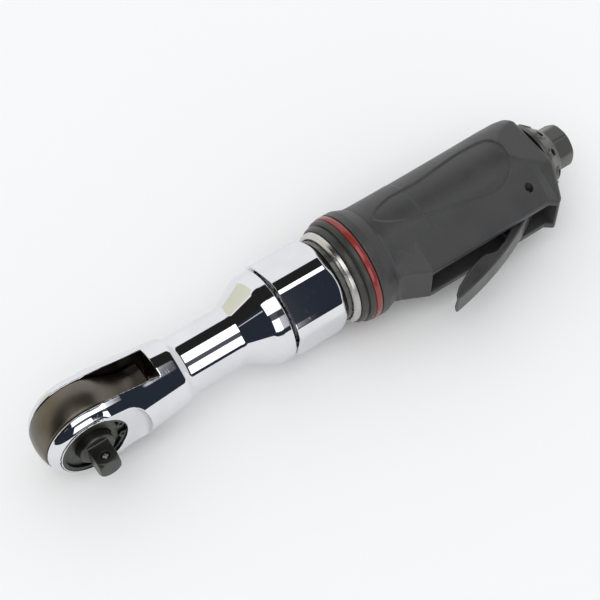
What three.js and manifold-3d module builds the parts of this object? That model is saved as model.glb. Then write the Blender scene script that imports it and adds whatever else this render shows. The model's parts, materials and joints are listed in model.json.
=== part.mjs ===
// Air ratchet, 3/8 in square drive. Millimetres, +X from the head to the air inlet, +Z up.
// The origin is the centre of the square drive's end face; the drive points to -Y.
import * as THREE from 'three';
import { mergeVertices } from 'three/addons/utils/BufferGeometryUtils.js';
import Module from 'manifold-3d';

const wasm = await Module();
wasm.setup();

// ---- driving dimensions (along X from the drive axis, radii and depths from the tool axis) ----
const AXIS_Y = 25.3;            // tool axis above the drive's end face
const GAP = 0.3;                // running gap between neighbours

const SQUARE = 9.525;           // 3/8 in square drive
const SQUARE_LENGTH = 10.4;
const HEAD_RADIUS = 20.3;       // arms, around the drive axis
const HEAD_CROWN = 28.4;        // radius of the crown across the head
const HEAD_EDGE = 4.5;          // rounding from the crown to an arm's face
const ARM_FACE = 13.3;          // tool axis to the face of an arm
const SPOT_RADIUS = 23.3;       // arm face, around the drive axis
const SHANK_X = 35;             // where the shank behind the arms has SHANK_RADIUS
const SHANK_RADIUS = 16.4;
const SHANK_TAPER = 0.12;
const HEAD_END = 47.6;
const SLOT_HALF = 7.4;
const SLOT_END = 35;
const RECESS_RADIUS = 14.9;
const GROOVE_RADIUS = 15.6;     // snap ring groove
const GROOVE_Y = [-12.3, -11];
const YOKE_RADIUS = 20.7;
const YOKE_HALF = 7.1;
const YOKE_BORE = 13;
const YOKE_TEETH = 36;
const YOKE_END = 32.5;
const FORK_OUTER = 8.8;         // half widths of the yoke's forked tail
const FORK_INNER = 6.75;
const FORK_ROOT = 23.5;
const DRUM_RADIUS = 12.6;
const FAR_STUB = 9;
const FAR_STUB_END = 12.1;
const CRANK_THROW = 1.6;

const NECK_RADIUS = 13.6;
const FLARE_START = 73.75;
const FLARE_END = 86.6;
const COLLAR_START = 87.8;
const JOINT_X = 93.3;           // housing meets clamp nut
const COLLAR_RADIUS = 21.5;
const SPIGOT_RADIUS = 18.5;
const SPIGOT_END = 101;

const MODULE = 0.75;            // gear module
const SUN_TEETH = 12;
const PLANET_TEETH = 12;
const RING_TEETH = SUN_TEETH + 2 * PLANET_TEETH;
const PRESSURE_ANGLE = 25 * Math.PI / 180;
const BACKLASH = 0.12;          // mm off each flank at the pitch circle
const PLANET_RADIUS = MODULE * (SUN_TEETH + PLANET_TEETH) / 2;
const GEAR_X = [85, 92.5];

const NUT_X = [JOINT_X + GAP, 121];
const NUT_CORNER = 22.2;
const NUT_BORE = 18.9;
const NUT_FLAT = 20.62;
const NUT_TURN = 8.7;           // degrees from +Y to the first flat

const MOTOR_BORE = 16.9;        // motor housing bore
const PLATE_RADIUS = MOTOR_BORE - GAP;
const MOTOR_X = [SPIGOT_END + 0.5, 146];
const PLATE_LENGTH = 5;
const ROTOR_RADIUS = 11.5;
const CYLINDER_BORE = 13;
const ECCENTRICITY = 1.2;
const VANE_COUNT = 5;
const BODY_RADIUS = 19.6;       // motor housing under the rings
const VALVE_BODY_RADIUS = 14.8;
const BODY_END = 238;

const STEEL_RING_X = [124.1, 126.9];
const COLLAR_X = [127.2, 133];
const RED_RING_X = [133.3, 136.2];
const RED_RING_RADIUS = 25.4;
const GRIP_X = [136.5, 238.4];
const GRIP_RADIUS = 23.2;
const WAIST_X = 146;
const RECESS_X = [160.5, 229];  // lever recess
const RECESS_HALF = 6.5;
const RAIL_HALF = 9.6;
const RAIL_DEPTH = 28.6;
const LIP_DEPTH = 31.3;
const FLANK_FACET = { normal: [-0.275, 0.07, 0.959], reach: 83.1 };  // beside the rear end
const REAR_SLANT = { rise: 0.44, x: 245.1 };                         // x where the slant meets the tool axis

const PIN_X = 220.5;            // lever pin
const PIN_DEPTH = 20;
const PIN_RADIUS = 1.5;
const LEVER_HALF = 5.5;
const LEVER_SHEET = 1.5;
const STEM_X = 203.8;
const STEM_RADIUS = 1.5;
const VALVE_BORE = 4.7;

const DEFLECTOR_X = [GRIP_X[1] + GAP, 249];
const DEFLECTOR_RADIUS = [18.4, 12.2];
const DEFLECTOR_BAND = 2;       // straight stretch before the cone
const DEFLECTOR_WALL = 2.2;
const WEB_X = [244.1, 245.4];   // the deflector's wall around the inlet bushing
const PORT_X = 243.4;
const PORT_COUNT = 10;

const INLET_HEAD_X = 245.8;
const INLET_X = 258.3;          // end face of the inlet bushing
const INLET_CORNER = 10.8;
const INLET_FLAT = 10.15;
const INLET_STEM = 8;
const INLET_BORE = 5.7;

// ---- materials ----
function finish(color, roughness, metalness) {
  return new THREE.MeshStandardMaterial({ color, roughness, metalness });
}

const chrome = finish('#c9ccd1', 0.08, 1);
const satinSteel = finish('#c2c2be', 0.35, 1);
const darkSteel = finish('#4a4742', 0.45, 0.8);
const blackOxide = finish('#343532', 0.4, 0.7);
const toolSteel = finish('#8b8d8f', 0.4, 0.9);
const bronze = finish('#a5803f', 0.45, 0.9);
const castAluminium = finish('#5b5d5a', 0.55, 0.7);
const composite = finish('#4b4b4b', 0.75, 0);
const vaneResin = finish('#6b4a2c', 0.7, 0);
const rubber = finish('#1f1f1f', 0.85, 0);
const redRubber = finish('#a0403a', 0.5, 0);
const collarResin = finish('#45463f', 0.55, 0);
const leverCoat = finish('#3a3a3a', 0.45, 0.4);
const felt = finish('#8c8a80', 0.95, 0);

// ---- solids ----
function solid(geometry) {
  const bare = geometry.index ? geometry.toNonIndexed() : geometry.clone();
  for (const name of Object.keys(bare.attributes)) {
    if (name !== 'position') bare.deleteAttribute(name);
  }
  const merged = mergeVertices(bare, 1e-4);
  const corners = merged.index.array;
  const triVerts = [];
  for (let i = 0; i < corners.length; i += 3) {
    const [a, b, c] = [corners[i], corners[i + 1], corners[i + 2]];
    if (a !== b && b !== c && c !== a) triVerts.push(a, b, c);
  }
  if (signedVolume(merged.attributes.position, triVerts) < 0) triVerts.reverse();
  return new wasm.Manifold(new wasm.Mesh({
    numProp: 3,
    vertProperties: new Float32Array(merged.attributes.position.array),
    triVerts: new Uint32Array(triVerts),
  }));
}

function signedVolume(position, triVerts) {
  const [a, b, c] = [new THREE.Vector3(), new THREE.Vector3(), new THREE.Vector3()];
  let total = 0;
  for (let i = 0; i < triVerts.length; i += 3) {
    a.fromBufferAttribute(position, triVerts[i]);
    b.fromBufferAttribute(position, triVerts[i + 1]);
    c.fromBufferAttribute(position, triVerts[i + 2]);
    total += a.dot(b.cross(c));
  }
  return total;
}

function geometryOf(manifold) {
  const mesh = manifold.getMesh();
  const geometry = new THREE.BufferGeometry();
  geometry.setAttribute('position', new THREE.BufferAttribute(new Float32Array(mesh.vertProperties), 3));
  geometry.setIndex(new THREE.BufferAttribute(new Uint32Array(mesh.triVerts), 1));
  geometry.computeVertexNormals();
  return geometry;
}

// A turned solid about X; the profile is [x, radius] points, closed on itself or ending on the axis.
function turned(profile, segments = 24) {
  const points = profile.map(([x, r]) => new THREE.Vector2(r, x));
  return solid(new THREE.LatheGeometry(points, segments).rotateZ(-Math.PI / 2));
}

// The same about Y; the profile is [y, radius] points.
function turnedY(profile, segments = 24) {
  const points = profile.map(([y, r]) => new THREE.Vector2(r, y));
  return solid(new THREE.LatheGeometry(points, segments));
}

const rod = (x0, x1, r, segments) => turned([[x0, 0], [x0, r], [x1, r], [x1, 0]], segments);
const rodY = (y0, y1, r, segments) => turnedY([[y0, 0], [y0, r], [y1, r], [y1, 0]], segments);
const rodZ = (z0, z1, r, segments) => solid(rodGeometry(z0, z1, r, segments));
const tube = (x0, x1, inner, outer, segments) =>
  turned([[x0, inner], [x0, outer], [x1, outer], [x1, inner], [x0, inner]], segments);
const tubeY = (y0, y1, inner, outer, segments) =>
  turnedY([[y0, inner], [y0, outer], [y1, outer], [y1, inner], [y0, inner]], segments);

function rodGeometry(z0, z1, r, segments = 24) {
  const geometry = new THREE.CylinderGeometry(r, r, z1 - z0, segments);
  return geometry.rotateX(Math.PI / 2).translate(0, 0, (z0 + z1) / 2);
}

function box(x0, x1, y0, y1, z0, z1) {
  const geometry = new THREE.BoxGeometry(x1 - x0, y1 - y0, z1 - z0);
  return solid(geometry.translate((x0 + x1) / 2, (y0 + y1) / 2, (z0 + z1) / 2));
}

function extrusion(shape, depth, bevel, curveSegments) {
  const options = { depth, bevelEnabled: false, curveSegments };
  if (bevel) {
    options.bevelEnabled = true;
    options.bevelThickness = bevel;
    options.bevelSize = bevel;
    options.bevelOffset = -bevel;
    options.bevelSegments = 2;
    options.depth = depth - 2 * bevel;
  }
  const geometry = new THREE.ExtrudeGeometry(shape, options);
  return bevel ? geometry.translate(0, 0, bevel) : geometry;
}

// Shape given in (x, y), swept along Z; in (x, z), swept along Y; in (y, z), swept along X.
const sweptZ = (shape, z0, z1, bevel, curve = 8) =>
  solid(extrusion(shape, z1 - z0, bevel, curve).translate(0, 0, z0));
const sweptY = (shape, y0, y1, bevel, curve = 8) =>
  solid(extrusion(shape, y1 - y0, bevel, curve).translate(0, 0, -y1).rotateX(Math.PI / 2));
function sweptX(shape, x0, x1, curve = 8) {
  const turn = new THREE.Matrix4().makeBasis(
    new THREE.Vector3(0, 1, 0), new THREE.Vector3(0, 0, 1), new THREE.Vector3(1, 0, 0));
  return solid(extrusion(shape, x1 - x0, 0, curve).applyMatrix4(turn).translate(x0, 0, 0));
}

const shapeOf = (points) => new THREE.Shape(points.map(([u, v]) => new THREE.Vector2(u, v)));

// ---- the object ----
const airRatchet = new THREE.Group();
const tool = new THREE.Group();
tool.position.set(0, AXIS_Y, 0);
airRatchet.add(tool);

function place(name, body, material, at = [0, 0, 0], parent = tool) {
  const mesh = new THREE.Mesh(geometryOf(body), material);
  mesh.name = name;
  mesh.position.set(...at);
  parent.add(mesh);
  return mesh;
}

// ---- ratchet head ----
const shankRadius = (x) => SHANK_RADIUS - SHANK_TAPER * (x - SHANK_X);

// [y, radius] points of half the head: a crowned side, rounded over into the arm's face.
function headProfile() {
  const crowned = (y) => HEAD_RADIUS - y * y / (2 * HEAD_CROWN);
  const points = [[0, HEAD_RADIUS], [5, crowned(5)]];
  for (let i = 0; i <= 4; i++) {
    const turn = i * Math.PI / 8;
    const y = ARM_FACE - HEAD_EDGE * (1 - Math.sin(turn));
    points.push([y, crowned(y) - HEAD_EDGE * (1 - Math.cos(turn))]);
  }
  return [...points, [ARM_FACE, 0]];
}

function headSolid() {
  const near = headProfile().map(([y, r]) => [-y, r]).reverse();
  const disc = turnedY([...near, ...headProfile().slice(1)], 40);
  const root = turned([[14, 0], [14, shankRadius(14)], [30, shankRadius(30)], [30, 0]], 32);
  const shank = turned([
    [8, 0], [8, shankRadius(8)], [HEAD_END - 4.5, shankRadius(HEAD_END - 4.5)],
    [HEAD_END - 2.2, shankRadius(HEAD_END) - 0.3], [HEAD_END - 1, NECK_RADIUS - 0.2], [HEAD_END - 1, 0],
  ], 32);
  return wasm.Manifold.hull([disc, root]).add(shank);
}

function ratchetHousing() {
  const shaft = turned([
    [HEAD_END - 9, 0], [HEAD_END - 9, NECK_RADIUS], [FLARE_START, NECK_RADIUS],
    [FLARE_END, COLLAR_RADIUS - 0.6], [COLLAR_START, COLLAR_RADIUS],
    [JOINT_X, COLLAR_RADIUS], [JOINT_X, SPIGOT_RADIUS], [SPIGOT_END, SPIGOT_RADIUS], [SPIGOT_END, 0],
  ], 32);
  const bore = turned([
    [SLOT_END - 1, 0], [SLOT_END - 1, 8.5], [79, 8.5], [79, 13], [82, 13],
    [82, 16.8], [SPIGOT_END + 1, 16.8], [SPIGOT_END + 1, 0],
  ], 26);
  const nearBore = turnedY([
    [-SLOT_HALF + 1, 0], [-SLOT_HALF + 1, RECESS_RADIUS],
    [GROOVE_Y[1], RECESS_RADIUS], [GROOVE_Y[1], GROOVE_RADIUS],
    [GROOVE_Y[0], GROOVE_RADIUS], [GROOVE_Y[0], RECESS_RADIUS], [-30, RECESS_RADIUS], [-30, 0],
  ], 26);
  const spotFace = (side) => turnedY([
    [side * ARM_FACE, 0], [side * ARM_FACE, SPOT_RADIUS], [side * (ARM_FACE + 5), SPOT_RADIUS + 3],
    [side * 30, SPOT_RADIUS + 3], [side * 30, 0],
  ], 40);
  return headSolid().subtract(spotFace(1))
    .subtract(spotFace(-1))
    .add(shaft)
    .subtract(box(-40, SLOT_END, -SLOT_HALF, SLOT_HALF, -40, 40))
    .subtract(bore)
    .subtract(nearBore)
    .subtract(rodY(0, 30, FAR_STUB + GAP, 32));
}

function toothedBore() {
  const hole = new THREE.Path();
  for (let i = 0; i < YOKE_TEETH; i++) {
    const angle = 2 * Math.PI * i / YOKE_TEETH;
    const half = Math.PI / YOKE_TEETH;
    const tip = [YOKE_BORE * Math.cos(angle), YOKE_BORE * Math.sin(angle)];
    const root = [(YOKE_BORE + 1) * Math.cos(angle + half), (YOKE_BORE + 1) * Math.sin(angle + half)];
    if (i === 0) hole.moveTo(...tip);
    else hole.lineTo(...tip);
    hole.lineTo(...root);
  }
  hole.closePath();
  return hole;
}

function ratchetYoke() {
  const shape = new THREE.Shape();
  const shoulder = 0.62;
  shape.absarc(0, 0, YOKE_RADIUS, shoulder, 2 * Math.PI - shoulder, false);
  const tailPoints = [
    [22, FORK_OUTER], [YOKE_END, FORK_OUTER], [YOKE_END, FORK_INNER], [FORK_ROOT, FORK_INNER],
  ];
  for (const [x, z] of tailPoints) shape.lineTo(x, -z);
  for (const [x, z] of tailPoints.reverse()) shape.lineTo(x, z);
  shape.closePath();
  shape.holes.push(toothedBore());
  const crown = turnedY([
    [-YOKE_HALF, 0], [-YOKE_HALF, YOKE_RADIUS - 1.1], [-4, YOKE_RADIUS - 0.3], [0, YOKE_RADIUS],
    [4, YOKE_RADIUS - 0.3], [YOKE_HALF, YOKE_RADIUS - 1.1], [YOKE_HALF, 0],
  ], 20);
  const tail = box(8, 40, -YOKE_HALF, YOKE_HALF, -30, 30);
  return sweptY(shape, -YOKE_HALF, YOKE_HALF, 0, 9).intersect(crown.add(tail));
}

const POCKET_X = 2.6;           // pawl pocket in the anvil drum
const POCKET_HALF_Y = 5;
const PAWL_PIN_X = 9;
const PAWL_PIN_RADIUS = 1.5;
const HUB_RADIUS = 8;
const HUB_END = -(AXIS_Y - SQUARE_LENGTH);
const FLANGE_Y = [-9.6, -7.6];  // the anvil's flange behind the thrust washer
const BALL_Y = -21.3;

function driveAnvil() {
  const body = turnedY([
    [FAR_STUB_END, 0], [FAR_STUB_END, FAR_STUB], [YOKE_HALF, FAR_STUB],
    [YOKE_HALF, DRUM_RADIUS], [FLANGE_Y[1], DRUM_RADIUS],
    [FLANGE_Y[1], RECESS_RADIUS - GAP], [FLANGE_Y[0], RECESS_RADIUS - GAP],
    [FLANGE_Y[0], HUB_RADIUS], [HUB_END + 0.8, HUB_RADIUS], [HUB_END, HUB_RADIUS - 0.8], [HUB_END, 0],
  ], 26);
  const half = SQUARE / 2;
  const square = box(-half, half, -AXIS_Y, HUB_END + 1, -half, half);
  const tip = turnedY([
    [-AXIS_Y, 0], [-AXIS_Y, half], [-AXIS_Y + 2.2, half * 1.42], [HUB_END + 1, half * 1.42], [HUB_END + 1, 0],
  ], 32);
  const ballHole = rodZ(0, 10, 1.85, 16).translate([0, BALL_Y, 0]);
  return body.add(square.intersect(tip))
    .subtract(box(POCKET_X, 20, -POCKET_HALF_Y, POCKET_HALF_Y, -8.2, 8.2))
    .subtract(rodY(-POCKET_HALF_Y - 0.5, 20, 3.9, 20))
    .subtract(rodY(-6.5, 20, PAWL_PIN_RADIUS + GAP, 16).translate([PAWL_PIN_X, 0, 0]))
    .subtract(ballHole);
}

function snapRing() {
  const [y0, y1] = [GROOVE_Y[0] + 0.15, GROOVE_Y[1] - 0.15];
  const ring = tubeY(y0, y1, 13.2, GROOVE_RADIUS - GAP, 26);
  const lug = (side) => rodY(y0, y1, 1.6, 12).translate([12.2, 0, side * 3.4]);
  return ring.subtract(box(8, 20, -13, -10, -2.4, 2.4)).add(lug(1)).add(lug(-1));
}

function pawl() {
  const shape = new THREE.Shape();
  const reach = 0.55;
  const outer = 12.1;
  shape.absarc(0, 0, outer, -reach, reach, false);
  shape.lineTo(7.6, outer * Math.sin(reach) + 0.2);
  shape.lineTo(6.9, 0);
  shape.lineTo(7.6, -outer * Math.sin(reach) - 0.2);
  shape.closePath();
  return sweptY(shape, -POCKET_HALF_Y + 0.4, POCKET_HALF_Y - 0.4, 0, 6)
    .subtract(rodY(-9, 9, PAWL_PIN_RADIUS + GAP, 16).translate([PAWL_PIN_X + 0.2, 0, 0]));
}

const KNOB_STEM = 3.6;
const PLUNGER_RADIUS = 1.2;

function reverseKnob() {
  const y = FAR_STUB_END + 0.4;
  const disc = turnedY([
    [y, 0], [y, 8.6], [ARM_FACE + GAP, 8.6], [ARM_FACE + GAP, 10], [y + 2.4, 10], [y + 3, 9.4], [y + 3, 0],
  ], 20);
  const bar = box(-9, 9, y + 2.3, y + 4.4, -1.9, 1.9);
  const stem = rodY(-POCKET_HALF_Y + 0.4, y + 0.3, KNOB_STEM, 20);
  const plungerHole = rod(-1.6, 10, PLUNGER_RADIUS + 0.15, 12);
  return disc.add(bar).add(stem).subtract(plungerHole);
}

function buildHead() {
  place('ratchet_housing', ratchetHousing(), chrome);
  place('ratchet_yoke', ratchetYoke(), darkSteel);
  place('drive_anvil', driveAnvil(), blackOxide);
  place('detent_ball', solid(new THREE.SphereGeometry(1.6, 12, 8)), satinSteel, [0, BALL_Y, SQUARE / 2 - 1]);
  place('detent_spring', solid(rodGeometry(0.2, 1.9, 1.2, 12)), toolSteel, [0, BALL_Y, 0]);
  place('thrust_washer', tubeY(-10.9, -9.9, HUB_RADIUS + GAP, RECESS_RADIUS - 0.4, 26), blackOxide);
  place('anvil_snap_ring', snapRing(), blackOxide);
  place('pawl', pawl(), toolSteel);
  place('pawl_pin', rodY(-6.2, 6.6, PAWL_PIN_RADIUS, 16), toolSteel, [PAWL_PIN_X, 0, 0]);
  place('reverse_knob', reverseKnob(), blackOxide);
  place('plunger_spring', rod(-1.2, 2, 0.9, 10), toolSteel);
  const plunger = [[2.4, 0], [2.4, PLUNGER_RADIUS], [5.4, PLUNGER_RADIUS], [6.2, 0.6], [6.2, 0]];
  place('pawl_plunger', turned(plunger, 12), toolSteel);
}

// ---- crank and gears ----
const involute = (angle) => Math.tan(angle) - angle;

// Half of a tooth's angle at a radius, on an involute gear with the given number of teeth.
function toothHalfAngle(teeth, radius, slack) {
  const pitch = MODULE * teeth / 2;
  const base = pitch * Math.cos(PRESSURE_ANGLE);
  const here = Math.acos(Math.min(1, base / Math.max(radius, base)));
  return Math.PI / (2 * teeth) + involute(PRESSURE_ANGLE) - involute(here) + slack / pitch;
}

// Outline of teeth at the given radii (valley, pitch, crest), with a tooth centred on angle `phase`.
function toothPoints(teeth, radii, slack, phase) {
  const points = [];
  for (let i = 0; i < teeth; i++) {
    const centre = phase + 2 * Math.PI * i / teeth;
    const flank = radii.map((r) => [r, toothHalfAngle(teeth, r, slack)]);
    const pointAt = (r, angle) => [r * Math.cos(angle), r * Math.sin(angle)];
    for (const [r, half] of flank) points.push(pointAt(r, centre - half));
    for (const [r, half] of flank.reverse()) points.push(pointAt(r, centre + half));
  }
  return points;
}

function spurGear(teeth, x0, x1, phase) {
  const pitch = MODULE * teeth / 2;
  const radii = [pitch - 1.1 * MODULE, pitch, pitch + 0.8 * MODULE];
  return sweptX(shapeOf(toothPoints(teeth, radii, -BACKLASH, phase)), x0, x1);
}

function ringGear() {
  const pitch = MODULE * RING_TEETH / 2;
  const radii = [pitch - 0.8 * MODULE, pitch + 1.1 * MODULE];
  const phase = Math.PI / 2 + Math.PI / RING_TEETH;
  const shape = new THREE.Shape();
  shape.absarc(0, 0, 16.5, 0, 2 * Math.PI, false);
  const spaces = toothPoints(RING_TEETH, radii, BACKLASH, phase);
  shape.holes.push(new THREE.Path(spaces.map(([u, v]) => new THREE.Vector2(u, v))));
  return sweptX(shape, GEAR_X[0] - 0.5, GEAR_X[1] + 0.2, 20);
}

const CARRIER_X = [79.4, 84];
const planetAngles = [0, 1, 2].map((i) => Math.PI / 2 + 2 * Math.PI * i / 3);
const planetPlace = (angle) => [0, PLANET_RADIUS * Math.cos(angle), PLANET_RADIUS * Math.sin(angle)];

function crankshaft() {
  const shaft = turned([
    [36, 0], [36, 5.4], [37.2, 6], [CARRIER_X[0] - 0.4, 6], [CARRIER_X[0], 12.6],
    [CARRIER_X[0] + 2.2, 12.6], [CARRIER_X[0] + 2.2, 0],
  ], 32);
  const pin = rod(26, 36.5, 2, 20).translate([0, 0, CRANK_THROW]);
  let body = shaft.add(pin);
  for (const angle of planetAngles) {
    body = body.subtract(rod(CARRIER_X[0] - 1, CARRIER_X[1], 1.6, 14).translate(planetPlace(angle)));
  }
  return body;
}

function buildDrive() {
  place('crankshaft', crankshaft(), toolSteel);
  place('crank_bushing', tube(26.5, 33.5, 2.3, 3.2, 20), bronze, [0, 0, CRANK_THROW]);
  place('crank_bearing', tube(40, 62, 6.3, 8.2, 20), bronze);
  planetAngles.forEach((angle, i) => {
    const phase = angle + Math.PI + Math.PI / PLANET_TEETH;
    const gear = spurGear(PLANET_TEETH, GEAR_X[0], GEAR_X[1] - 0.5, phase).subtract(rod(70, 99, 1.7, 14));
    const pin = rod(CARRIER_X[0] + 0.2, GEAR_X[1] - 0.8, 1.3, 14);
    place(`planet_gear_${i + 1}`, gear, toolSteel, planetPlace(angle));
    place(`planet_pin_${i + 1}`, pin, toolSteel, planetPlace(angle));
  });
  place('ring_gear', ringGear(), toolSteel);
  place('gear_washer', tube(93.2, 94.2, 6.2, 16.4, 32), toolSteel);
}

// ---- air motor ----
function rotor() {
  const drumX = [MOTOR_X[0] + PLATE_LENGTH + 0.5, MOTOR_X[1] - PLATE_LENGTH - 0.5];
  let body = turned([
    [96, 0], [96, 4], [drumX[0], 4], [drumX[0], ROTOR_RADIUS], [drumX[1], ROTOR_RADIUS], [drumX[1], 4],
    [MOTOR_X[1] + 0.5, 4], [MOTOR_X[1] + 0.5, 0],
  ], 26);
  for (let i = 0; i < VANE_COUNT; i++) {
    const slot = box(drumX[0] - 1, drumX[1] + 1, 5.5, 20, -1.05, 1.05);
    body = body.subtract(slot.rotate([360 * i / VANE_COUNT, 0, 0]));
  }
  return body.add(spurGear(SUN_TEETH, GEAR_X[0], 96.5, Math.PI / 2));
}

function motorCylinder() {
  const x = [MOTOR_X[0] + PLATE_LENGTH + GAP, MOTOR_X[1] - PLATE_LENGTH - GAP];
  return rod(x[0], x[1], PLATE_RADIUS, 26)
    .subtract(rod(x[0] - 1, x[1] + 1, CYLINDER_BORE, 26).translate([0, 0, -ECCENTRICITY]))
    .subtract(dowelBore());
}

const DOWEL_RADIUS = 1;
const dowelBore = () => rod(90, 160, DOWEL_RADIUS + GAP, 12).translate([0, 0, 14.4]);

function endPlate(x0) {
  return tube(x0, x0 + PLATE_LENGTH, 7.8, PLATE_RADIUS, 26).subtract(dowelBore());
}

function buildMotor() {
  const rearPlateX = MOTOR_X[1] - PLATE_LENGTH;
  place('rotor', rotor(), toolSteel);
  const blade = box(MOTOR_X[0] + PLATE_LENGTH + 0.8, rearPlateX - 0.8, 5.8, 11.3, -0.75, 0.75);
  for (let i = 0; i < VANE_COUNT; i++) {
    place(`vane_${i + 1}`, blade, vaneResin).rotation.x = 2 * Math.PI * i / VANE_COUNT;
  }
  place('front_end_plate', endPlate(MOTOR_X[0]), toolSteel);
  place('front_bearing', tube(MOTOR_X[0] + 0.3, MOTOR_X[0] + 4.7, 4.3, 7.5, 20), satinSteel);
  place('motor_cylinder', motorCylinder(), toolSteel);
  place('rear_end_plate', endPlate(rearPlateX), toolSteel);
  place('rear_bearing', tube(rearPlateX + 0.3, MOTOR_X[1] - 0.3, 4.3, 7.5, 20), satinSteel);
  place('cylinder_dowel', rod(MOTOR_X[0] + 1, MOTOR_X[1] - 1, DOWEL_RADIUS, 12), toolSteel, [0, 0, 14.4]);
}

// ---- body ----
function clampNut() {
  let body = turned([
    [NUT_X[0], NUT_BORE], [NUT_X[0], COLLAR_RADIUS - 0.3], [NUT_X[0] + 0.7, NUT_CORNER],
    [NUT_X[1] - 2.4, NUT_CORNER], [NUT_X[1], NUT_CORNER - 2], [NUT_X[1], NUT_BORE], [NUT_X[0], NUT_BORE],
  ], 32);
  for (let i = 0; i < 6; i++) {
    const flat = box(NUT_X[0] + 1, NUT_X[1] + 1, NUT_FLAT, 40, -30, 30);
    body = body.subtract(flat.rotate([60 * i + NUT_TURN, 0, 0]));
  }
  return body;
}

function motorHousing() {
  const outside = turned([
    [MOTOR_X[0] - 0.2, 0], [MOTOR_X[0] - 0.2, SPIGOT_RADIUS], [NUT_X[1] + 0.5, SPIGOT_RADIUS],
    [NUT_X[1] + 1, BODY_RADIUS], [146.7, BODY_RADIUS],
    [150, VALVE_BODY_RADIUS], [BODY_END, VALVE_BODY_RADIUS], [BODY_END, 0],
  ], 26);
  const motorBore = rod(MOTOR_X[0] - 1, MOTOR_X[1] + GAP, MOTOR_BORE, 26);
  const rearBore = turned([
    [STEM_X, 0], [STEM_X, 4.4], [228, 4.4], [228, 8.4], [BODY_END + 1, 8.4], [BODY_END + 1, 0],
  ], 20);
  const bearingRelief = rod(MOTOR_X[1], MOTOR_X[1] + 2, 6, 20);
  const feed = rod(MOTOR_X[1], STEM_X, 2.2, 14).translate([0, -8.6, 0]);
  const exhaust = (z) => rod(MOTOR_X[1], BODY_END + 1, 2.6, 14).translate([0, 6, z]);
  return outside.subtract(motorBore)
    .subtract(rearBore)
    .subtract(bearingRelief)
    .subtract(feed)
    .subtract(exhaust(9.6))
    .subtract(exhaust(-9.6))
    .subtract(rodY(-20, 20, VALVE_BORE, 20).translate([STEM_X, 0, 0]));
}

// Depth of the rails, the front boss and the rear lip below the tool axis.
function keelDepth(x) {
  if (x < 160) return THREE.MathUtils.mapLinear(x, WAIST_X, 160, GRIP_RADIUS, RAIL_DEPTH);
  if (x < 226) return RAIL_DEPTH;
  if (x < 230) return THREE.MathUtils.mapLinear(x, 226, 230, RAIL_DEPTH, LIP_DEPTH);
  return LIP_DEPTH;
}

// [x, radius] of the grip's round part.
const gripStations = [
  [GRIP_X[0], 24.9], [137, 25.3], [140.5, 25.2], [143, 24.2],
  [WAIST_X, 23.1], [153, 22.9], [160, 22.9], [190, GRIP_RADIUS],
  [226, 23.8], [230, 23.7], [236.4, 23.2], [237.8, 22.4], [GRIP_X[1], 21],
];

// Distance from the tool axis to the grip's skin, at an angle measured from -Y.
function gripRadius(x, round, angle) {
  const depth = keelDepth(x);
  if (x < WAIST_X || depth <= round) return round;
  const corner = Math.hypot(depth, RAIL_HALF);
  const tangent = Math.atan2(RAIL_HALF, depth) + Math.acos(round / corner);
  const down = Math.cos(angle);
  const side = Math.cos(tangent - Math.abs(angle));
  const flat = down > 0.01 ? depth / down : Infinity;
  const flank = side > 0.01 ? round / side : Infinity;
  return Math.abs(angle) < tangent ? Math.max(round, Math.min(flat, flank)) : round;
}

function gripSkin() {
  const around = 40;
  const positions = [];
  const faces = [];
  for (const [x, round] of gripStations) {
    for (let i = 0; i < around; i++) {
      const angle = 2 * Math.PI * i / around - Math.PI;
      const r = gripRadius(x, round, angle);
      positions.push(x, -r * Math.cos(angle), r * Math.sin(angle));
    }
  }
  const last = gripStations.length - 1;
  for (let s = 0; s < last; s++) {
    for (let i = 0; i < around; i++) {
      const [a, b] = [s * around + i, s * around + (i + 1) % around];
      faces.push(a, b, b + around, a, b + around, a + around);
    }
  }
  for (const [station, side] of [[0, 0], [last, 1]]) {
    const centre = positions.length / 3;
    positions.push(gripStations[station][0], 0, 0);
    for (let i = 0; i < around; i++) {
      const [a, b] = [station * around + i, station * around + (i + 1) % around];
      if (side) faces.push(centre, a, b);
      else faces.push(centre, b, a);
    }
  }
  const geometry = new THREE.BufferGeometry();
  geometry.setAttribute('position', new THREE.Float32BufferAttribute(positions, 3));
  geometry.setIndex(faces);
  return solid(geometry);
}

const PAD_X = [160, 206];
const PAD_HALF_ANGLE = 0.24;

// A sector of a ring about the tool axis, centred on +Y.
function backSector(x0, x1, inner, outer, halfAngle) {
  const shape = new THREE.Shape();
  shape.absarc(0, 0, outer, -halfAngle, halfAngle, false);
  shape.absarc(0, 0, inner, halfAngle, -halfAngle, true);
  shape.closePath();
  return sweptX(shape, x0, x1, 6);
}

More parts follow.
